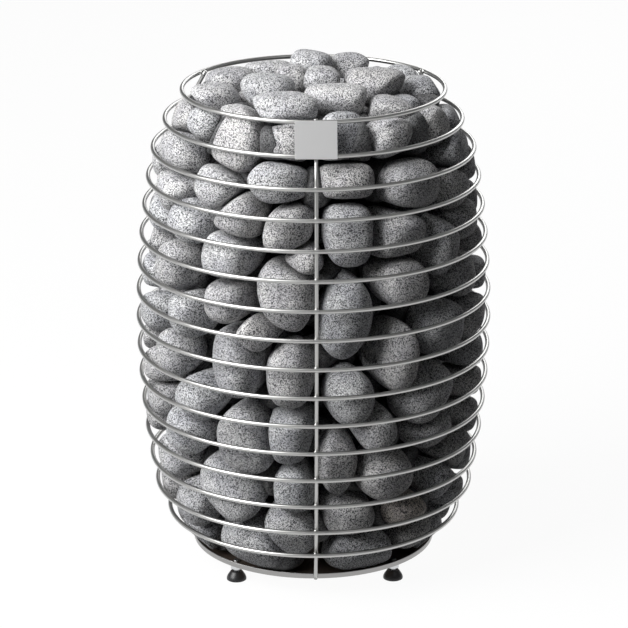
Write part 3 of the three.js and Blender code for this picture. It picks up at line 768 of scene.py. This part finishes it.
def add_stones(name, group, stones, ball, node):
    """One piece of the scene from a group of stones, with each stone's random tone and painted shade on its
    points.
    """
    unit, triangles = ball
    verts = []
    faces = []
    tones = []
    brown = min(stones, key=lambda stone: np.linalg.norm(stone["centre"] - BROWN_STONE))
    for stone in group:
        faces.append(triangles + len(unit) * len(verts))
        # The level is each stone's random tone times its painted shade, which darkens the inner stones and
        # the bed under the loose stones.
        level = stone["tone_and_shade"] * (DARKEST_TONE + TONE_RANGE * scatter(stone["number"], 50))
        warmth = BROWN_WARMTH if stone is brown else WARMTH_RANGE * (scatter(stone["number"], 51) - 0.5)
        tones += [level * (1 + warmth), level, level * (1 - warmth), 1] * len(unit)
        verts.append(pebble(stone, stones, unit))
    obj = add_mesh(name, np.concatenate(verts), np.concatenate(faces), STONE)
    layer = obj.data.attributes.new("tone_and_shade", "FLOAT_COLOR", "POINT")
    layer.data.foreach_set("color", tones)
    stand_in(obj, "heater", "stone", node)


def build_stones():
    ball = unit_ball(5)
    crown = [lying_stone("crown", row) for row in CROWN]
    stones = list(crown)
    for course, (low, high, front) in enumerate(COURSES):
        stones += [faced_stone(course, row) for row in front + back_stones(course, low, high)]
    stones += [lying_stone(len(COURSES) - 1, row) for row in TOP_FILL]
    stones += inner_stones()
    for number, stone in enumerate(stones):
        stone["number"] = number
    for course in range(len(COURSES)):
        own = [stone for stone in stones if stone["course"] == course]
        add_stones(f"stones_of_course_{course + 1}", own, stones, ball, f"stone_course_{course + 1:02d}")
    for i, stone in enumerate(crown):
        add_stones(f"top_stone_{i + 1}", [stone], stones, ball, f"crown_stone_{i + 1:02d}")


def paint_solids():
    """Materials of the solids that stay as they are."""
    paints = {"terminal_housing": DARK_STEEL, "bottom_cover": DARK_STEEL, "cable_grommet": RUBBER,
              "terminal_block": CERAMIC, "core_stones": STONE}
    for i in range(1, 4):
        paints[f"heating_element_{i}"] = ELEMENT_STEEL
    for i in range(1, 5):
        paints[f"foot_nut_{i}"] = ZINC
    for node, material in paints.items():
        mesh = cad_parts[node].data
        mesh.materials.clear()
        mesh.materials.append(material)


# Floor, light and camera

def build_floor():
    """White where it is seen or mirrored, with a little lit white for the shadow; dark as a bounce."""
    bpy.ops.mesh.primitive_plane_add(size=FLOOR_SIZE)
    floor = bpy.context.object
    floor.name = "floor"
    material, tree, shader = new_material("pale floor")
    nodes, links = tree.nodes, tree.links
    shader.inputs["Base Color"].default_value = (0.04, 0.04, 0.04, 1)
    shader.inputs["Roughness"].default_value = 0.9
    shader.inputs["Specular IOR Level"].default_value = 0
    white = nodes.new("ShaderNodeBsdfDiffuse")
    white.inputs["Color"].default_value = (0.95, 0.95, 0.95, 1)
    glow = nodes.new("ShaderNodeEmission")
    glow.inputs["Color"].default_value = (1, 1, 1, 1)
    seen = nodes.new("ShaderNodeMixShader")
    seen.inputs["Fac"].default_value = FLOOR_WHITE_SHARE
    links.new(white.outputs["BSDF"], seen.inputs[1])
    links.new(glow.outputs["Emission"], seen.inputs[2])
    rays = nodes.new("ShaderNodeLightPath")
    direct = nodes.new("ShaderNodeMath")
    direct.operation = "MAXIMUM"
    links.new(rays.outputs["Is Camera Ray"], direct.inputs[0])
    links.new(rays.outputs["Is Glossy Ray"], direct.inputs[1])
    either = nodes.new("ShaderNodeMath")
    either.operation = "MAXIMUM"
    links.new(direct.outputs["Value"], either.inputs[0])
    links.new(rays.outputs["Is Transmission Ray"], either.inputs[1])
    mix = nodes.new("ShaderNodeMixShader")
    links.new(either.outputs["Value"], mix.inputs["Fac"])
    links.new(shader.outputs["BSDF"], mix.inputs[1])
    links.new(seen.outputs["Shader"], mix.inputs[2])
    links.new(mix.outputs["Shader"], nodes["Material Output"].inputs["Surface"])
    floor.data.materials.append(material)


def add_lamp(name, place, target, size, power):
    data = bpy.data.lights.new(name, "AREA")
    data.shape = "RECTANGLE"
    data.size, data.size_y = size
    data.energy = power
    lamp = bpy.data.objects.new(name, data)
    lamp.location = place
    lamp.rotation_euler = (Vector(target) - Vector(place)).to_track_quat("-Z", "Y").to_euler()
    bpy.context.scene.collection.objects.link(lamp)


def build_light():
    """A world that is white to the camera, grey in metal and almost dark as light, and the lamps."""
    world = bpy.data.worlds.new("studio")
    world.use_nodes = True
    nodes, links = world.node_tree.nodes, world.node_tree.links
    dim = nodes["Background"]
    dim.inputs["Color"].default_value = (1, 1, 1, 1)
    dim.inputs["Strength"].default_value = 0.004
    mirrored = nodes.new("ShaderNodeBackground")
    mirrored.inputs["Color"].default_value = (1, 1, 1, 1)
    mirrored.inputs["Strength"].default_value = 0.2
    white = nodes.new("ShaderNodeBackground")
    white.inputs["Color"].default_value = (1, 1, 1, 1)
    white.inputs["Strength"].default_value = 1
    rays = nodes.new("ShaderNodeLightPath")
    either = nodes.new("ShaderNodeMath")
    either.operation = "MAXIMUM"
    links.new(rays.outputs["Is Glossy Ray"], either.inputs[0])
    links.new(rays.outputs["Is Transmission Ray"], either.inputs[1])
    metal_sees = nodes.new("ShaderNodeMixShader")
    links.new(either.outputs["Value"], metal_sees.inputs["Fac"])
    links.new(dim.outputs["Background"], metal_sees.inputs[1])
    links.new(mirrored.outputs["Background"], metal_sees.inputs[2])
    camera_sees = nodes.new("ShaderNodeMixShader")
    links.new(rays.outputs["Is Camera Ray"], camera_sees.inputs["Fac"])
    links.new(metal_sees.outputs["Shader"], camera_sees.inputs[1])
    links.new(white.outputs["Background"], camera_sees.inputs[2])
    links.new(camera_sees.outputs["Shader"], nodes["World Output"].inputs["Surface"])
    bpy.context.scene.world = world
    for lamp in LAMPS:
        add_lamp(*lamp)


def build_camera():
    data = bpy.data.cameras.new("camera")
    data.sensor_width = CAMERA_SENSOR
    data.lens = CAMERA_LENS
    data.shift_x = CAMERA_SHIFT_X
    camera = bpy.data.objects.new("camera", data)
    turn = math.radians(CAMERA_AZIMUTH)
    camera.location = (CAMERA_DISTANCE * math.sin(turn), -CAMERA_DISTANCE * math.cos(turn), CAMERA_HEIGHT)
    heading = Matrix.Rotation(turn, 3, "Z")
    pitch = Matrix.Rotation(math.radians(90 - CAMERA_PITCH), 3, "X")
    camera.rotation_euler = (heading @ pitch).to_euler()
    bpy.context.scene.collection.objects.link(camera)
    bpy.context.scene.camera = camera


bpy.context.scene.view_settings.view_transform = "Standard"
build_cage()
build_welds()
build_plate()
build_pan()
build_feet()
build_stones()
paint_solids()
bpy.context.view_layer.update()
build_floor()
build_light()
build_camera()
